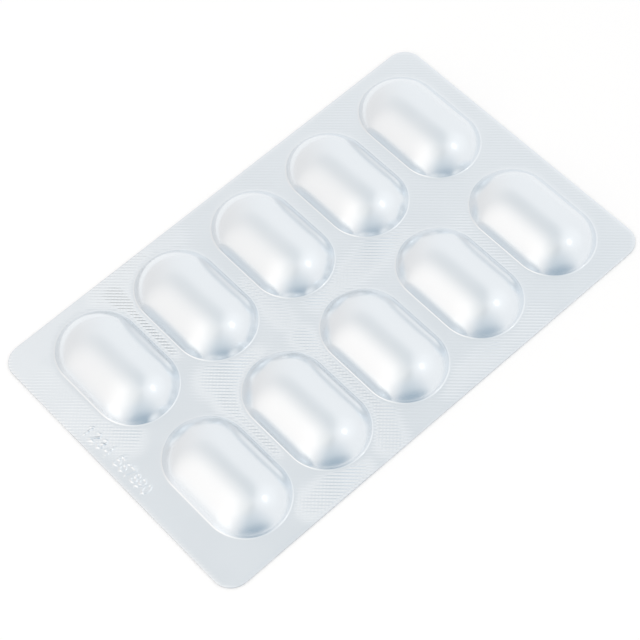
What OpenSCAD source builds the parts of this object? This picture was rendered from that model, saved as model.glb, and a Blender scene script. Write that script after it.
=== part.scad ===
// Cold-formed foil blister card: two rows of five oblong pockets, sealed flat.
// Millimetres. The origin is the middle of the underside, X runs along the
// long side and Z points out of the pockets.

/* [Card] */
// Length of the card
card_l = 105; // [98:1:140]
// Width of the card
card_w = 66; // [64:1:90]
// Thickness of the formed web and the lidding foil, sealed together
card_t = 0.25; // [0.15:0.05:0.6]
// Radius of the card's corners
corner_r = 4; // [1:0.5:8]

/* [Pocket] */
// Length of a pocket at the foot of its wall
pocket_l = 27.6; // [20:0.1:29]
// Width of a pocket at the foot of its wall
pocket_w = 16.6; // [13.5:0.1:17.4]
// Height of a pocket above the card
pocket_h = 5; // [4.7:0.1:8]
// Slope of the pocket's wall, in degrees from the card
wall_slope = 57; // [47:1:61]
// Radius where the card turns up into the wall
rim_r = 0.5; // [0.2:0.05:0.8]

/* [Layout] */
// Pockets along the card
columns = 5; // [1:1:5]
// Pockets across the card
rows = 2; // [1:1:2]
// Margin for the pressed code, from the card's left end to the first pocket
code_margin = 6.7; // [2:0.1:12]
// Margin from the last pocket to the card's right end
end_margin = 3.7; // [1:0.1:8]
// Margin from the front row to the card's front edge
front_margin = 4.1; // [1:0.1:6]
// Margin from the back row to the card's back edge
back_margin = 2.9; // [1:0.1:5]

/* [Hidden] */
$fn = 96;

// Arcs cross the wall by this much, so that they never only touch it
blend = 0.001;

// The pocket's section is a straight wall that runs into one round crown
half_w = pocket_w / 2;
crown_r = (half_w - pocket_h / tan(wall_slope)) / tan(wall_slope / 2) + blend;
crown_z = pocket_h - crown_r;
shoulder_z = crown_z + crown_r * cos(wall_slope);
shoulder_x = half_w - shoulder_z / tan(wall_slope);

// The rim fillet leaves the wall at fillet_top, never above the shoulder, and
// meets the card at foot_x
fillet_r = min(rim_r, shoulder_z / (1 - cos(wall_slope)));
fillet_top = fillet_r * (1 - cos(wall_slope));
foot_x = half_w + fillet_r * tan(wall_slope / 2);

// A pocket's foot goes this deep into the card, so that they are one
foot_depth = card_t / 2;

// Straight stretch between the two round ends of a pocket
straight_l = pocket_l - pocket_w;

// The pockets spread evenly between the four margins
first_x = code_margin + half_w - card_l / 2;
last_x = card_l / 2 - end_margin - half_w;
front_y = front_margin + pocket_l / 2 - card_w / 2;
back_y = card_w / 2 - back_margin - pocket_l / 2;
column_pitch = (last_x - first_x) / max(columns - 1, 1);
row_pitch = (back_y - front_y) / max(rows - 1, 1);

// Outline of the card, a rectangle with round corners
module card_outline() {
    reach_x = card_l / 2 - corner_r;
    reach_y = card_w / 2 - corner_r;
    square([card_l, 2 * reach_y], center = true);
    square([2 * reach_x, card_w], center = true);
    for (x = [-reach_x, reach_x], y = [-reach_y, reach_y])
        translate([x, y]) circle(r = corner_r);
}

// Half of a pocket's section, from its middle out to the end of the fillet
module half_section() {
    // Round crown
    intersection() {
        translate([0, crown_z]) circle(r = crown_r);
        square([half_w, pocket_h + blend]);
    }
    // Straight wall and its foot, less the rim fillet
    difference() {
        union() {
            polygon([[0, 0], [half_w, 0], [shoulder_x, shoulder_z], [0, shoulder_z]]);
            translate([0, -foot_depth]) square([foot_x, foot_depth + fillet_top]);
        }
        translate([foot_x, fillet_r]) circle(r = fillet_r + blend);
    }
}

// One pocket: its whole section swept straight, and half of it turned round
// each end
module pocket() {
    rotate([90, 0, 0]) linear_extrude(height = straight_l, center = true) {
        half_section();
        mirror([1, 0]) half_section();
    }
    for (turn = [0, 180])
        rotate([0, 0, turn]) translate([0, straight_l / 2, 0])
            rotate_extrude(angle = 180) half_section();
}

// The card with its grid of pockets, formed and sealed in one
module blister_pack() {
    color("gainsboro") {
        linear_extrude(height = card_t) card_outline();
        for (column = [0 : columns - 1], row = [0 : rows - 1])
            translate([
                first_x + column * column_pitch, front_y + row * row_pitch, card_t
            ]) pocket();
    }
}

blister_pack();
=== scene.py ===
"""Foil blister pack: a card of cold-formed silver foil with ten oblong pockets.

The card lies with its pockets up. X runs along its long side, away from the
margin with the pressed number, and Y runs across it. Everything is in metres.
"""
import math

import bmesh
import bpy
from mathutils import Matrix, Vector, noise
from mathutils.geometry import delaunay_2d_cdt


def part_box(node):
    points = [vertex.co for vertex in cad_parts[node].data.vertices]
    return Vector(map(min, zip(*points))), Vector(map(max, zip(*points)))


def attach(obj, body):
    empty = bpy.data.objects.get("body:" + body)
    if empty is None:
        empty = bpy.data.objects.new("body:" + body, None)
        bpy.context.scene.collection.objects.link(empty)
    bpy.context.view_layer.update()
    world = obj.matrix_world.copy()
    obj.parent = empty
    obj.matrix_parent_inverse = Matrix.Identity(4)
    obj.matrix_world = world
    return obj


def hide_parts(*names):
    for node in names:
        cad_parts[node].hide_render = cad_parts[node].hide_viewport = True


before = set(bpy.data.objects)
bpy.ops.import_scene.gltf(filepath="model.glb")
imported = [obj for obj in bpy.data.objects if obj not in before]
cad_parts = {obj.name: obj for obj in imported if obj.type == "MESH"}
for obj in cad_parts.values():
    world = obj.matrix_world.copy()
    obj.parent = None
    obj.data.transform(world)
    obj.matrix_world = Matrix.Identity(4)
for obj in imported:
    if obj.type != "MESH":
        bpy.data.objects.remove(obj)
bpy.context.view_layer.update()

MM = 0.001

# Card, with the frame's outline. The lidding foil ends at LID_TOP, where the
# formed web begins, and the web's upper edge is rounded by EDGE_R
CARD_LOW, CARD_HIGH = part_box("blister_pack")
CARD_HALF = ((CARD_HIGH - CARD_LOW) / 2).xy
CARD_CORNER_R = 4 * MM
CARD_TOP = 0.25 * MM
LID_TOP = 0.05 * MM
EDGE_R = 0.07 * MM

# Pockets, in the same places as the frame's
COLUMNS, ROWS = 5, 2
CODE_MARGIN, END_MARGIN = 6.7 * MM, 3.7 * MM
FRONT_MARGIN, BACK_MARGIN = 4.1 * MM, 2.9 * MM
POCKET_HALF_L, POCKET_HALF_W = 13.8 * MM, 8.3 * MM
STRAIGHT_HALF = POCKET_HALF_L - POCKET_HALF_W
POCKET_H = CARD_HIGH.z - CARD_TOP

# A pocket's section is one round arc, joined to the flange by a small round
# crease. The crease starts at RIM_FOOT from the middle line and meets the arc
# at RIM_SLOPE
RIM_R = 0.4 * MM
CROWN_R = (POCKET_HALF_W ** 2 + POCKET_H ** 2) / (2 * POCKET_H)
CROWN_Z = POCKET_H - CROWN_R
RIM_FOOT = math.sqrt((CROWN_R + RIM_R) ** 2 - (RIM_R - CROWN_Z) ** 2)
RIM_SLOPE = math.asin(RIM_FOOT / (CROWN_R + RIM_R))

# How far the crown's round ends reach into its straight stretch, and how many
# rounds its height takes to settle
CROWN_BLEND = 5.4 * MM
CROWN_ROUNDS = 8

# Unevenness of the formed foil: wide waves in the whole sheet, cut from the
# noise at WAVE_LAYER, and small dents in the pockets
WAVE_PITCH, WAVE_DEPTH, WAVE_LAYER = 13 * MM, 0.035 * MM, 3.7
DENT_PITCH, DENT_DEPTH = 5 * MM, 0.02 * MM

# Mesh density. The flange's grid stays GRID_CLEAR away from other lines
RIM_STEPS, CROWN_STEPS = 6, 40
END_STEPS, SIDE_STEPS = 44, 18
CORNER_STEPS, EDGE_STEPS = 16, 3
FLANGE_PITCH = 0.9 * MM
GRID_CLEAR = 0.45 * FLANGE_PITCH

# Points this close are taken as one, in the triangles and in the whole mesh
SAME_POINT, WELD = 1e-9, 1e-7

# Foil: its two shades, and the dull grey of the cut laminate on the web's edge, below
# half the rounding of its upper edge, darkened further as a painted shadow line under the
# card's edge
FOIL_DARK, FOIL_LIGHT = (0.815, 0.855, 0.890), (0.850, 0.890, 0.925)
# Grey of the cut laminate, darkened further to paint the shadow line under the card's
# edge
CUT_EDGE_SHADOW_SHADE = (0.52, 0.55, 0.58)
CUT_SHADOW_TOP = CARD_TOP - EDGE_R / 2

# Roughness of the web and the lid, how much it varies, and the film's gloss
WEB_ROUGHNESS, LID_ROUGHNESS, FOIL_UNEVEN = 0.23, 0.3, 0.03
COAT_WEIGHT, COAT_ROUGHNESS = 0.4, 0.05

# Cloudy grain that shade and roughness follow. Roughness goes from its lowest to
# its highest between GRAIN_LOW and GRAIN_HIGH
GRAIN_SCALE, GRAIN_DETAIL = 90, 3
GRAIN_LOW, GRAIN_HIGH = 0.3, 0.7

# Knurl that the sealing plate presses into the flange: how far its deepest
# ridges rise and fall, the share of its weaker ridges, its faint depth all over
# and the distance over which it fades at a pocket's foot
KNURL_PITCH, KNURL_DEPTH = 0.65 * MM, 0.07 * MM
KNURL_CROSS = 0.14
KNURL_BASE = 0.06
KNURL_FADE = 0.5 * MM

# Where it is pressed deeper: stretches from one point to another and their half
# width, in millimetres, and how deep, as a share. A stretch is full out to
# KNURL_REACH - 1 of its half width and gone at KNURL_REACH of it
KNURL_REACH = 1.6
KNURL_STRETCHES = (
    (-50, 31, -48.5, 14, 3.5, 0.45),
    (-46, 30.5, -30, 30.5, 4.2, 0.4),
    (-30, 30.5, -19, 30.5, 3.0, 0.8),
    (-19, 30.5, -11, 30.5, 2.5, 0.4),
    (-27.9, 29, -27.9, 13, 2.6, 0.95),
    (-8.3, 12, -8.3, 2, 2.2, 0.6),
    (-26, 1, -19, -1, 3.6, 0.8),
    (0, 0.8, 19, 0.8, 3.0, 0.7),
    (-27, -3, -27.9, -16, 2.6, 0.85),
    (-8.3, -3, -8.3, -25, 2.4, 0.8),
    (-9, -24, -11.3, -30.4, 3.0, 0.8),
    (4, -30, 26, -30.8, 2.6, 0.4),
    (8, -29.5, 16, -30.5, 2.0, 0.5),
    (31, -6, 31, -18, 2.0, 0.3),
    (-49, 14, -46, 3.5, 3.5, 0.6),
    (-30, -30, -20, -31, 3.0, 0.8),
)

# The lidding foil: how deep its knurl is, as a share, and its hollow under a
# pocket
LID_KNURL = 0.4
WINDOW_DEPTH = 0.14 * MM

# Pressed number, along the margin at the card's left end: each group of digits
# with the y of its first digit and the step to the next, in millimetres
DIGIT_GROUPS = (("1234", 10.2, 1.9), ("567890", 1.45, 1.56))
DIGIT_LINE_X = -50.65 * MM
DIGIT_HEIGHT, DIGIT_WIDTH = 2.0 * MM, 1.15 * MM
RIDGE_HALF_W, RIDGE_H = 0.25 * MM, 0.18 * MM

# Pitch of the mesh there, and degrees between the points of a digit's arcs
DIGIT_PITCH = 0.09 * MM
ARC_STEP = 30

# Camera, at the photograph's viewing angle, with its roll in degrees
CAMERA_PLACE = Vector((-119.8, -160.3, 333.7)) * MM
CAMERA_TARGET = Vector((-3.34, -2.59, 0)) * MM
CAMERA_ROLL = -6.8
CAMERA_SENSOR, CAMERA_LENS = 36, 115.7

# Surroundings: direction (azimuth, elevation), full and fading reach in
# degrees, and colour, each laid over the ones before it
STUDIO_BASE = (0.98, 0.98, 0.98)
STUDIO_ZONES = {
    "overhead": (64, 75, 2, 31, (0.785, 0.812, 0.828)),
    "low_left": (224.7, 9.7, 0.6, 66.1, (0.661, 0.719, 0.765)),
    "front_right_glow": (326.5, 48.4, 0.5, 34.0, (1.049, 1.048, 1.046)),
    "far_side": (136.1, 4.8, 0.5, 100.0, (0.894, 0.869, 0.854)),
    "left_card": (218.8, 64.8, 0.5, 27.9, (0.720, 0.742, 0.752)),
    "left_low": (176, 6, 2, 26, (1.0, 1.0, 1.0)),
    "front_low": (241, -14, 8, 46, (0.34, 0.44, 0.53)),
}

# Lamps: where each stands and how far it is turned about its own axis, in
# degrees and metres, half its sides, the share of each half side that is at full
# level, and its level and colour
LAMP_WARM, LAMP_WHITE = (1.0, 0.88, 0.77), (1, 1, 1)
LAMPS = {
    "softbox_high": {
        "azimuth": 170.1, "elevation": 45.4, "distance": 0.445, "turn": 0,
        "half_size": (0.334, 0.558), "core": (0.37, 0.45),
        "level": 0.172, "colour": LAMP_WARM,
    },
    "softbox_left": {
        "azimuth": 185.9, "elevation": 37.2, "distance": 0.485, "turn": 0,
        "half_size": (0.348, 0.522), "core": (0.51, 0.30),
        "level": 0.150, "colour": LAMP_WARM,
    },
    "strobe": {
        "azimuth": 311, "elevation": 51.5, "distance": 1.0, "turn": -45,
        "half_size": (0.014, 0.11), "core": (0.6, 0.6),
        "level": 6, "colour": LAMP_WHITE,
    },
}

# Floor: a table just below the card. Its glow shows only to the camera, in
# reflections and through glass, and makes it a white background
FLOOR_HALF, FLOOR_Z = 3.0, -0.05 * MM
FLOOR_SHADE = (0.9, 0.9, 0.9)
FLOOR_GLOW = 0.145


def from_angles(azimuth, elevation):
    """Unit vector at an azimuth from +X and an elevation, in degrees."""
    a, e = math.radians(azimuth), math.radians(elevation)
    return Vector((math.cos(e) * math.cos(a), math.cos(e) * math.sin(a), math.sin(e)))


def unit(value):
    """The value, held between 0 and 1."""
    return max(0, min(1, value))


def link(ob):
    """Put an object into the scene."""
    bpy.context.scene.collection.objects.link(ob)
    return ob


def camera():
    """The photograph's view: from the front left, looking steeply down."""
    cam = link(bpy.data.objects.new("camera", bpy.data.cameras.new("camera")))
    cam.data.sensor_width = CAMERA_SENSOR
    cam.data.lens = CAMERA_LENS
    facing = (CAMERA_TARGET - CAMERA_PLACE).to_track_quat("-Z", "Y").to_matrix()
    facing = facing @ Matrix.Rotation(math.radians(CAMERA_ROLL), 3, "Z")
    cam.matrix_world = Matrix.Translation(CAMERA_PLACE) @ facing.to_4x4()
    bpy.context.scene.camera = cam


class Nodes:
    """Short calls for building a node tree."""

    def __init__(self, tree):
        self.tree = tree

    def add(self, kind, **settings):
        """A new node of a kind, with its settings."""
        node = self.tree.nodes.new(kind)
        for name, value in settings.items():
            setattr(node, name, value)
        return node

    def link(self, source, target):
        """Link an output to a socket."""
        self.tree.links.new(source, target)

    def feed(self, socket, value):
        """Link a socket to an output, or set it to a plain value."""
        if isinstance(value, bpy.types.NodeSocket):
            self.link(value, socket)
        else:
            socket.default_value = value

    def math(self, operation, a, b=0.0):
        """Result of an operation on one or two values."""
        node = self.add("ShaderNodeMath", operation=operation)
        self.feed(node.inputs[0], a)
        self.feed(node.inputs[1], b)
        return node.outputs[0]

    def smooth(self, value, low, high, to_low=0.0, to_high=1.0):
        """Smooth step of a value from low to high."""
        node = self.add("ShaderNodeMapRange", interpolation_type="SMOOTHSTEP")
        self.feed(node.inputs["Value"], value)
        node.inputs["From Min"].default_value = low
        node.inputs["From Max"].default_value = high
        node.inputs["To Min"].default_value = to_low
        node.inputs["To Max"].default_value = to_high
        return node.outputs["Result"]

    def mix_colour(self, factor, a, b):
        """Colour between a and b."""
        node = self.add("ShaderNodeMix", data_type="RGBA")
        self.feed(node.inputs["Factor"], factor)
        self.feed(node.inputs["A"], a)
        self.feed(node.inputs["B"], b)
        return node.outputs["Result"]


def studio_surroundings():
    """A pale studio all round, darker overhead and low down to the left."""
    world = bpy.data.worlds.new("studio")
    bpy.context.scene.world = world
    world.use_nodes = True
    n = Nodes(world.node_tree)
    n.tree.nodes.clear()
    direction = n.add("ShaderNodeTexCoord").outputs["Generated"]
    colour = (*STUDIO_BASE, 1)
    for azimuth, elevation, full, fade, zone_colour in STUDIO_ZONES.values():
        towards = n.add("ShaderNodeVectorMath", operation="DOT_PRODUCT")
        n.link(direction, towards.inputs[0])
        towards.inputs[1].default_value = from_angles(azimuth, elevation)
        low, high = math.cos(math.radians(fade)), math.cos(math.radians(full))
        share = n.smooth(towards.outputs["Value"], low, high)
        colour = n.mix_colour(share, colour, (*zone_colour, 1))
    background = n.add("ShaderNodeBackground")
    n.feed(background.inputs["Color"], colour)
    output = n.add("ShaderNodeOutputWorld")
    n.link(background.outputs[0], output.inputs["Surface"])


def soft_lamp(name, azimuth, elevation, distance, turn, half_size, core, level, colour):
    """A rectangular lamp that faces the card and fades towards its edges."""
    lamp = bpy.data.lights.new(name, "AREA")
    lamp.shape = "RECTANGLE"
    lamp.size, lamp.size_y = 2 * half_size[0], 2 * half_size[1]
    lamp.energy = level * math.pi * lamp.size * lamp.size_y
    lamp.color = colour
    lamp.use_nodes = True
    n = Nodes(lamp.node_tree)
    place = n.add("ShaderNodeSeparateXYZ")
    n.link(n.add("ShaderNodeNewGeometry").outputs["Parametric"], place.inputs[0])
    strength = 1.0
    for axis, inner in zip("XY", core):
        off_middle = n.math("ABSOLUTE", n.math("SUBTRACT", place.outputs[axis], 0.5))
        strength = n.math("MULTIPLY", strength, n.smooth(off_middle, 0.5, 0.5 * inner))
    n.feed(n.tree.nodes["Emission"].inputs["Strength"], strength)
    ob = link(bpy.data.objects.new(name, lamp))
    back = from_angles(azimuth, elevation)
    facing = back.to_track_quat("Z", "Y").to_matrix()
    facing = facing @ Matrix.Rotation(math.radians(turn), 3, "Z")
    ob.matrix_world = Matrix.Translation(back * distance) @ facing.to_4x4()


def studio_lamps():
    """Two warm softboxes to the left and a small bright strobe to the right."""
    for name, settings in LAMPS.items():
        soft_lamp(name, **settings)


def floor_material():
    """Matt white, with the glow that makes the background white."""
    material = bpy.data.materials.new("floor")
    material.use_nodes = True
    n = Nodes(material.node_tree)
    shader = n.tree.nodes["Principled BSDF"]
    shader.inputs["Base Color"].default_value = (*FLOOR_SHADE, 1)
    shader.inputs["Roughness"].default_value = 1
    shader.inputs["Specular IOR Level"].default_value = 0
    shader.inputs["Emission Color"].default_value = (1, 1, 1, 1)
    rays = n.add("ShaderNodeLightPath")
    seen = n.math("MAXIMUM", rays.outputs["Is Camera Ray"], rays.outputs["Is Glossy Ray"])
    seen = n.math("MAXIMUM", seen, rays.outputs["Is Transmission Ray"])
    n.feed(shader.inputs["Emission Strength"], n.math("MULTIPLY", seen, FLOOR_GLOW))
    return material


def floor():
    """A white table that keeps the card's shadow."""
    sides = ((-1, -1), (1, -1), (1, 1), (-1, 1))
    corners = [(x * FLOOR_HALF, y * FLOOR_HALF, FLOOR_Z) for x, y in sides]
    mesh = bpy.data.meshes.new("floor")
    mesh.from_pydata(corners, [], [(0, 1, 2, 3)])
    mesh.materials.append(floor_material())
    ob = link(bpy.data.objects.new("floor", mesh))


class Mesh:
    """Vertices and faces under construction."""

    def __init__(self):
        self.vertices, self.faces = [], []

    def ring(self, points):
        """Add points that follow each other, and give their numbers."""
        start = len(self.vertices)
        self.vertices += points
        return list(range(start, len(self.vertices)))

    def bridge(self, rings):
        """Faces between closed rings of as many points, each to the next."""
        for lower, upper in zip(rings, rings[1:]):
            count = len(lower)
            for k in range(count):
                m = (k + 1) % count
                self.faces.append((lower[k], lower[m], upper[m], upper[k]))

    def to_object(self, name, material):
        """A smooth object in the scene, with its doubled points welded."""
        mesh = bpy.data.meshes.new(name)
        mesh.from_pydata(self.vertices, [], self.faces)
        mesh.materials.append(material)
        bm = bmesh.new()
        bm.from_mesh(mesh)
        bmesh.ops.remove_doubles(bm, verts=bm.verts, dist=WELD)
        bmesh.ops.recalc_face_normals(bm, faces=bm.faces)
        bm.to_mesh(mesh)
        bm.free()
        mesh.validate()
        mesh.polygons.foreach_set("use_smooth", [True] * len(mesh.polygons))
        return link(bpy.data.objects.new(name, mesh))


def set_values(ob, name, value_at):
    """Give every point of an object a value that its material reads."""
    values = ob.data.attributes.new(name, "FLOAT", "POINT").data
    for vertex, stored in zip(ob.data.vertices, values):
        stored.value = value_at(vertex.co)


def stadium(reach):
    """Points round a pocket at a distance from its middle line, anticlockwise."""
    points = []
    for side in (1, -1):
        for k in range(END_STEPS):
            a = math.pi * k / END_STEPS
            y = STRAIGHT_HALF + reach * math.sin(a)
            points.append((side * reach * math.cos(a), side * y))
        for k in range(SIDE_STEPS):
            y = STRAIGHT_HALF * (1 - 2 * k / SIDE_STEPS)
            points.append((-side * reach, side * y))
    return points


def crown_height(x, y):
    """Height of a pocket at a place, with its crown falling smoothly to the ends."""
    past = abs(y) - STRAIGHT_HALF
    reach = math.hypot(x, max(past, 0))
    for _ in range(CROWN_ROUNDS):
        blend = CROWN_BLEND * (1 - min(reach / POCKET_HALF_W, 1) ** 2)
        along = past
        if -blend < past < blend:
            along = (past + blend) ** 2 / (4 * blend)
        reach = math.hypot(x, max(along, 0))
    return CROWN_Z + math.sqrt(CROWN_R ** 2 - reach ** 2)


def wave(x, y):
    """Slight unevenness of the whole sheet."""
    place = Vector((x / WAVE_PITCH, y / WAVE_PITCH, WAVE_LAYER))
    return WAVE_DEPTH * noise.noise(place)


def dent(x, y, seed):
    """Slight hollows left in a pocket by forming, never proud of its shape."""
    place = Vector((x / DENT_PITCH, y / DENT_PITCH, seed))
    return DENT_DEPTH * 0.5 * (noise.noise(place) - 1)


def pocket_rings():
    """Rings of (x, y, height) from the foot of the crease up to the crown."""
    rings = []
    for k in range(RIM_STEPS):
        a = RIM_SLOPE * k / RIM_STEPS
        height = RIM_R * (1 - math.cos(a))
        rings.append([(x, y, height) for x, y in stadium(RIM_FOOT - RIM_R * math.sin(a))])
    for k in range(CROWN_STEPS + 1):
        reach = CROWN_R * math.sin(RIM_SLOPE * (1 - k / CROWN_STEPS))
        rings.append([(x, y, crown_height(x, y)) for x, y in stadium(reach)])
    return rings


def pocket_centres():
    """Middles of the pockets, row by row."""
    first_x = CARD_LOW.x + CODE_MARGIN + POCKET_HALF_W
    last_x = CARD_HIGH.x - END_MARGIN - POCKET_HALF_W
    front_y = CARD_LOW.y + FRONT_MARGIN + POCKET_HALF_L
    back_y = CARD_HIGH.y - BACK_MARGIN - POCKET_HALF_L
    xs = [first_x + (last_x - first_x) * k / (COLUMNS - 1) for k in range(COLUMNS)]
    ys = [front_y + (back_y - front_y) * k / (ROWS - 1) for k in range(ROWS)]
    return [(x, y) for y in ys for x in xs]


def clear_of_pockets(x, y, centres):
    """Distance from the foot of the nearest pocket, negative inside it."""
    nearest = min(
        math.hypot(x - cx, max(abs(y - cy) - STRAIGHT_HALF, 0)) for cx, cy in centres
    )
    return nearest - RIM_FOOT


def card_outline(inset=0.0):
    """Points round the card, anticlockwise, drawn in by inset."""
    r = CARD_CORNER_R - inset
    points = []
    for quarter, (sx, sy) in enumerate(((1, 1), (-1, 1), (-1, -1), (1, -1))):
        cx = sx * (CARD_HALF.x - CARD_CORNER_R)
        cy = sy * (CARD_HALF.y - CARD_CORNER_R)
        for k in range(CORNER_STEPS + 1):
            a = math.pi / 2 * (quarter + k / CORNER_STEPS)
            points.append((cx + r * math.cos(a), cy + r * math.sin(a)))
    return points


def split_sides(outline, longest):
    """The same loop with its long sides cut into shorter steps."""
    points = []
    for a, b in zip(outline, outline[1:] + outline[:1]):
        steps = max(1, math.ceil(math.dist(a, b) / longest))
        for k in range(steps):
            t = k / steps
            points.append((a[0] + (b[0] - a[0]) * t, a[1] + (b[1] - a[1]) * t))
    return points


def inside_edge(x, y):
    """Distance inside the card's outline."""
    over_x = abs(x) - (CARD_HALF.x - CARD_CORNER_R)
    over_y = abs(y) - (CARD_HALF.y - CARD_CORNER_R)
    if over_x > 0 and over_y > 0:
        return CARD_CORNER_R - math.hypot(over_x, over_y)
    return CARD_CORNER_R - max(over_x, over_y)


def edge_point(point, out, drop):
    """A point of the web's upper face at its edge, moved outwards and down."""
    x, y = point
    in_x = max(-CARD_HALF.x + CARD_CORNER_R, min(CARD_HALF.x - CARD_CORNER_R, x))
    in_y = max(-CARD_HALF.y + CARD_CORNER_R, min(CARD_HALF.y - CARD_CORNER_R, y))
    away = Vector((x - in_x, y - in_y)).normalized() * out
    return (x + away.x, y + away.y, CARD_TOP + wave(x, y) - drop)


def arc(x, y, half_w, half_h, start, end):
    """Points on an ellipse from one angle to another, in degrees."""
    steps = max(2, round(abs(end - start) / ARC_STEP))
    angles = [math.radians(start + (end - start) * k / steps) for k in range(steps + 1)]
    return [(x + half_w * math.cos(a), y + half_h * math.sin(a)) for a in angles]


def digit_strokes():
    """Lines of each digit, in a cell 1 wide and 2 high."""
    return {
        "0": [arc(0.5, 1, 0.5, 1, 0, 360)],
        "1": [[(0.1, 1.6), (0.55, 2), (0.55, 0)]],
        "2": [arc(0.5, 1.5, 0.5, 0.5, 170, -40) + [(0, 0), (1, 0)]],
        "3": [arc(0.5, 1.5, 0.45, 0.5, 150, -90), arc(0.5, 0.5, 0.5, 0.5, 90, -150)],
        "4": [[(0.75, 0), (0.75, 2), (0, 0.65), (1, 0.65)]],
        "5": [[(0.95, 2), (0.1, 2), (0.1, 1.05)], arc(0.4, 0.6, 0.6, 0.6, 125, -130)],
        "6": [arc(0.5, 0.6, 0.5, 0.6, 0, 360), arc(1, 0.6, 1, 1.4, 180, 95)],
        "7": [[(0, 2), (1, 2), (0.35, 0)]],
        "8": [arc(0.5, 1.5, 0.42, 0.45, 0, 360), arc(0.5, 0.55, 0.5, 0.52, 0, 360)],
        "9": [arc(0.5, 1.4, 0.5, 0.6, 0, 360), arc(0, 1.4, 1, 1.4, 0, -85)],
    }


def pressed_number():
    """Each digit of the number as its low and high y and its lines on the card.

    The number reads towards -Y, with the tops of its digits towards +X.
    """
    strokes = digit_strokes()
    digits = []
    for group, start, step in DIGIT_GROUPS:
        for number, digit in enumerate(group):
            begin = (start - number * step) * MM
            lines = []
            for stroke in strokes[digit]:
                places = [
                    (DIGIT_LINE_X + v * DIGIT_HEIGHT / 2, begin - u * DIGIT_WIDTH)
                    for u, v in stroke
                ]
                lines += zip(places, places[1:])
            low, high = begin - DIGIT_WIDTH - RIDGE_HALF_W, begin + RIDGE_HALF_W
            digits.append((low, high, lines))
    return digits


def off_line(x, y, line):
    """Distance of a point from a line between two points."""
    (ax, ay), (bx, by) = line
    dx, dy = bx - ax, by - ay
    t = unit(((x - ax) * dx + (y - ay) * dy) / (dx * dx + dy * dy))
    return math.hypot(x - ax - t * dx, y - ay - t * dy)


def ridge(x, y, digits):
    """Height of the pressed number's round ridges at a place."""
    if not DIGIT_LINE_X - RIDGE_HALF_W < x < DIGIT_LINE_X + DIGIT_HEIGHT + RIDGE_HALF_W:
        return 0
    near = RIDGE_HALF_W
    for low, high, lines in digits:
        if low < y < high:
            near = min([near] + [off_line(x, y, line) for line in lines])
    return RIDGE_H * 0.5 * (1 + math.cos(math.pi * near / RIDGE_HALF_W))


def number_points(digits):
    """A fine grid of points over the pressed number."""
    low = min(digit[0] for digit in digits)
    high = max(digit[1] for digit in digits)
    columns = round((DIGIT_HEIGHT + 2 * RIDGE_HALF_W) / DIGIT_PITCH)
    rows = round((high - low) / DIGIT_PITCH)
    left = DIGIT_LINE_X - RIDGE_HALF_W
    return [
        (left + i * DIGIT_PITCH, low + j * DIGIT_PITCH)
        for i in range(columns + 1) for j in range(rows + 1)
    ]


def grid_points(keep):
    """A grid of points over the card, where keep says so."""
    columns = round(2 * CARD_HALF.x / FLANGE_PITCH)
    rows = round(2 * CARD_HALF.y / FLANGE_PITCH)
    points = []
    for i in range(1, columns):
        x = CARD_LOW.x + (CARD_HIGH.x - CARD_LOW.x) * i / columns
        for j in range(1, rows):
            y = CARD_LOW.y + (CARD_HIGH.y - CARD_LOW.y) * j / rows
            if inside_edge(x, y) > GRID_CLEAR and keep(x, y):
                points.append((x, y))
    return points


def add_sheet(mesh, loops, points, height, keep):
    """Triangles between closed loops and loose points, where keep says so."""
    points = list(points)
    edges = []
    for loop in loops:
        start, count = len(points), len(loop)
        points += loop
        edges += [(start + k, start + (k + 1) % count) for k in range(count)]
    result = delaunay_2d_cdt([Vector(p) for p in points], edges, [], 0, SAME_POINT)
    places, triangles = result[0], result[2]
    start = len(mesh.vertices)
    mesh.vertices += [(p.x, p.y, height(p.x, p.y)) for p in places]
    for face in triangles:
        x = sum(places[i].x for i in face) / len(face)
        y = sum(places[i].y for i in face) / len(face)
        if keep(x, y):
            mesh.faces.append(tuple(start + i for i in face))


def add_pocket(mesh, shape, centre, seed):
    """One pocket, from its foot to its crown. Gives the points of its foot."""
    cx, cy = centre
    rings = []
    for ring in shape:
        points = []
        for x, y, height in ring:
            share = min(1, height / POCKET_H)
            z = CARD_TOP + height + wave(cx + x, cy + y) * (1 - share)
            points.append((cx + x, cy + y, z + dent(x, y, seed) * share))
        rings.append(mesh.ring(points))
    mesh.bridge(rings)
    return [mesh.vertices[i][:2] for i in rings[0]]


def add_flange(mesh, centres, outline, feet):
    """The flat part of the web, with the number pressed into it."""
    digits = pressed_number()
    fine = number_points(digits)
    low_x, low_y = (min(axis) - GRID_CLEAR for axis in zip(*fine))
    high_x, high_y = (max(axis) + GRID_CLEAR for axis in zip(*fine))

    def coarse(x, y):
        in_number = low_x < x < high_x and low_y < y < high_y
        return not in_number and clear_of_pockets(x, y, centres) > GRID_CLEAR

    def height(x, y):
        return CARD_TOP + wave(x, y) + ridge(x, y, digits)

    def flat(x, y):
        return clear_of_pockets(x, y, centres) > 0

    add_sheet(mesh, [outline] + feet, fine + grid_points(coarse), height, flat)


def add_edge(mesh, outline):
    """The web's edge, rounded at the top and then straight down to the lid."""
    rings = []
    for k in range(EDGE_STEPS + 1):
        a = math.pi / 2 * k / EDGE_STEPS
        out, drop = EDGE_R * math.sin(a), EDGE_R * (1 - math.cos(a))
        rings.append(mesh.ring([edge_point(p, out, drop) for p in outline]))
    low = [edge_point(p, EDGE_R, 0) for p in outline]
    rings.append(mesh.ring([(x, y, LID_TOP) for x, y, _ in low]))
    mesh.bridge(rings)


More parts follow.
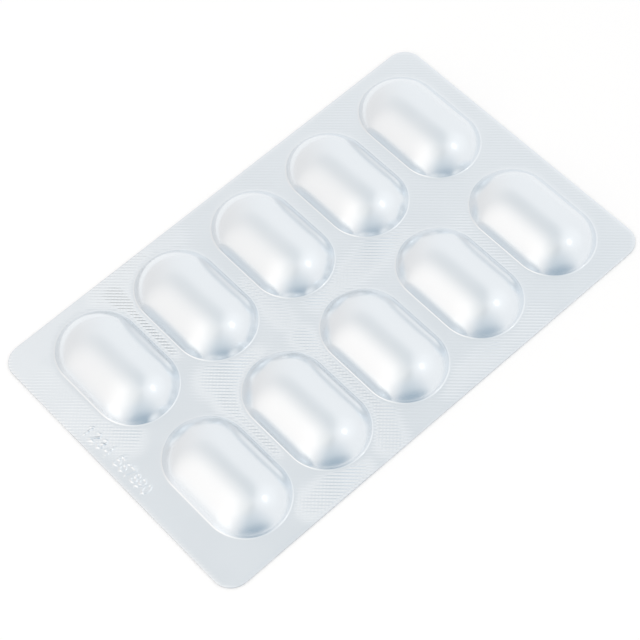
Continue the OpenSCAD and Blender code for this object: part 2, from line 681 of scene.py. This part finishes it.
def knurl_depth(x, y, centres):
    """How deep the knurl is pressed at a place, from 0 to 1."""
    rim = unit(clear_of_pockets(x, y, centres) / KNURL_FADE)
    if rim == 0:
        return 0
    depth = KNURL_BASE
    for x0, y0, x1, y1, half_width, level in KNURL_STRETCHES:
        a, b = Vector((x0, y0)) * MM, Vector((x1, y1)) * MM
        along = unit((Vector((x, y)) - a).dot(b - a) / (b - a).length_squared)
        off = (Vector((x, y)) - a.lerp(b, along)).length / (half_width * MM)
        depth = max(depth, level * unit(KNURL_REACH - off))
    return depth * rim


def formed_web(material):
    """The upper foil in one mesh: its pockets, its flange and its edge."""
    centres = pocket_centres()
    shape = pocket_rings()
    mesh = Mesh()
    feet = [add_pocket(mesh, shape, centre, seed) for seed, centre in enumerate(centres)]
    outline = split_sides(card_outline(EDGE_R), FLANGE_PITCH)
    add_flange(mesh, centres, outline, feet)
    add_edge(mesh, outline)
    ob = mesh.to_object("formed_web", material)
    set_values(ob, "knurl", lambda p: knurl_depth(p.x, p.y, centres))
    # Mark the web's edge, where a painted shadow line darkens the cut laminate
    set_values(ob, "cut_edge_shadow", lambda p: 1 if p.z < CUT_SHADOW_TOP else 0)
    return ob


def lidding_foil(material):
    """The foil sealed to the underside, drawn in slightly under each pocket."""
    centres = pocket_centres()
    outline = split_sides(card_outline(), FLANGE_PITCH)
    windows = [[(cx + x, cy + y) for x, y in stadium(RIM_FOOT)] for cx, cy in centres]

    def height(x, y):
        inside = -clear_of_pockets(x, y, centres) / POCKET_HALF_W
        return WINDOW_DEPTH * math.sqrt(unit(inside))

    def coarse(x, y):
        return abs(clear_of_pockets(x, y, centres)) > GRID_CLEAR

    def everywhere(x, y):
        return True

    def knurl(p):
        return LID_KNURL * unit(clear_of_pockets(p.x, p.y, centres) / KNURL_FADE)

    mesh = Mesh()
    add_sheet(mesh, [outline] + windows, grid_points(coarse), height, everywhere)
    mesh.bridge([mesh.ring([(x, y, z) for x, y in outline]) for z in (0, LID_TOP)])
    ob = mesh.to_object("lidding_foil", material)
    set_values(ob, "knurl", knurl)
    return ob


def knurl_height(n, place):
    """Two sets of fine ridges that cross, one much the stronger."""
    turn = 2 * math.pi / KNURL_PITCH
    diagonal = turn / math.sqrt(2)
    x, y = place.outputs["X"], place.outputs["Y"]
    first = n.math("SINE", n.math("MULTIPLY", n.math("ADD", x, y), diagonal))
    second = n.math("SINE", n.math("MULTIPLY", n.math("SUBTRACT", x, y), diagonal))
    return n.math("ADD", first, n.math("MULTIPLY", second, KNURL_CROSS))


def foil_material(name, roughness):
    """Aluminium under a clear glossy film, with its knurl."""
    material = bpy.data.materials.new(name)
    material.use_nodes = True
    n = Nodes(material.node_tree)
    shader = n.tree.nodes["Principled BSDF"]
    shader.inputs["Metallic"].default_value = 1
    shader.inputs["Coat Weight"].default_value = COAT_WEIGHT
    shader.inputs["Coat Roughness"].default_value = COAT_ROUGHNESS
    coordinates = n.add("ShaderNodeTexCoord").outputs["Object"]

    # Slightly uneven shade and roughness, and the duller cut edge with its painted shadow
    # line
    cloud = n.add("ShaderNodeTexNoise")
    cloud.inputs["Scale"].default_value = GRAIN_SCALE
    cloud.inputs["Detail"].default_value = GRAIN_DETAIL
    n.link(coordinates, cloud.inputs["Vector"])
    grain = cloud.outputs["Fac"]
    shade = n.mix_colour(grain, (*FOIL_DARK, 1), (*FOIL_LIGHT, 1))
    # Painted shadow line along the web's cut edge
    cut_edge_shadow = n.add("ShaderNodeAttribute", attribute_name="cut_edge_shadow").outputs["Fac"]
    n.feed(shader.inputs["Base Color"], n.mix_colour(cut_edge_shadow, shade, (*CUT_EDGE_SHADOW_SHADE, 1)))
    low, high = roughness - FOIL_UNEVEN, roughness + FOIL_UNEVEN
    uneven = n.smooth(grain, GRAIN_LOW, GRAIN_HIGH, low, high)
    n.feed(shader.inputs["Roughness"], uneven)

    # Knurl, as deep as the mesh says at each point
    place = n.add("ShaderNodeSeparateXYZ")
    n.link(coordinates, place.inputs[0])
    depth = n.add("ShaderNodeAttribute", attribute_name="knurl").outputs["Fac"]
    bump = n.add("ShaderNodeBump")
    bump.inputs["Distance"].default_value = KNURL_DEPTH
    n.feed(bump.inputs["Strength"], depth)
    n.feed(bump.inputs["Height"], knurl_height(n, place))
    n.link(bump.outputs[0], shader.inputs["Normal"])
    n.link(bump.outputs[0], shader.inputs["Coat Normal"])
    return material


bpy.context.scene.view_settings.view_transform = "Standard"
camera()
studio_surroundings()
studio_lamps()
floor()
web = formed_web(foil_material("web_foil", WEB_ROUGHNESS))
lid = lidding_foil(foil_material("lid_foil", LID_ROUGHNESS))
for piece in (web, lid):
    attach(piece, "root")
    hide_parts("blister_pack")
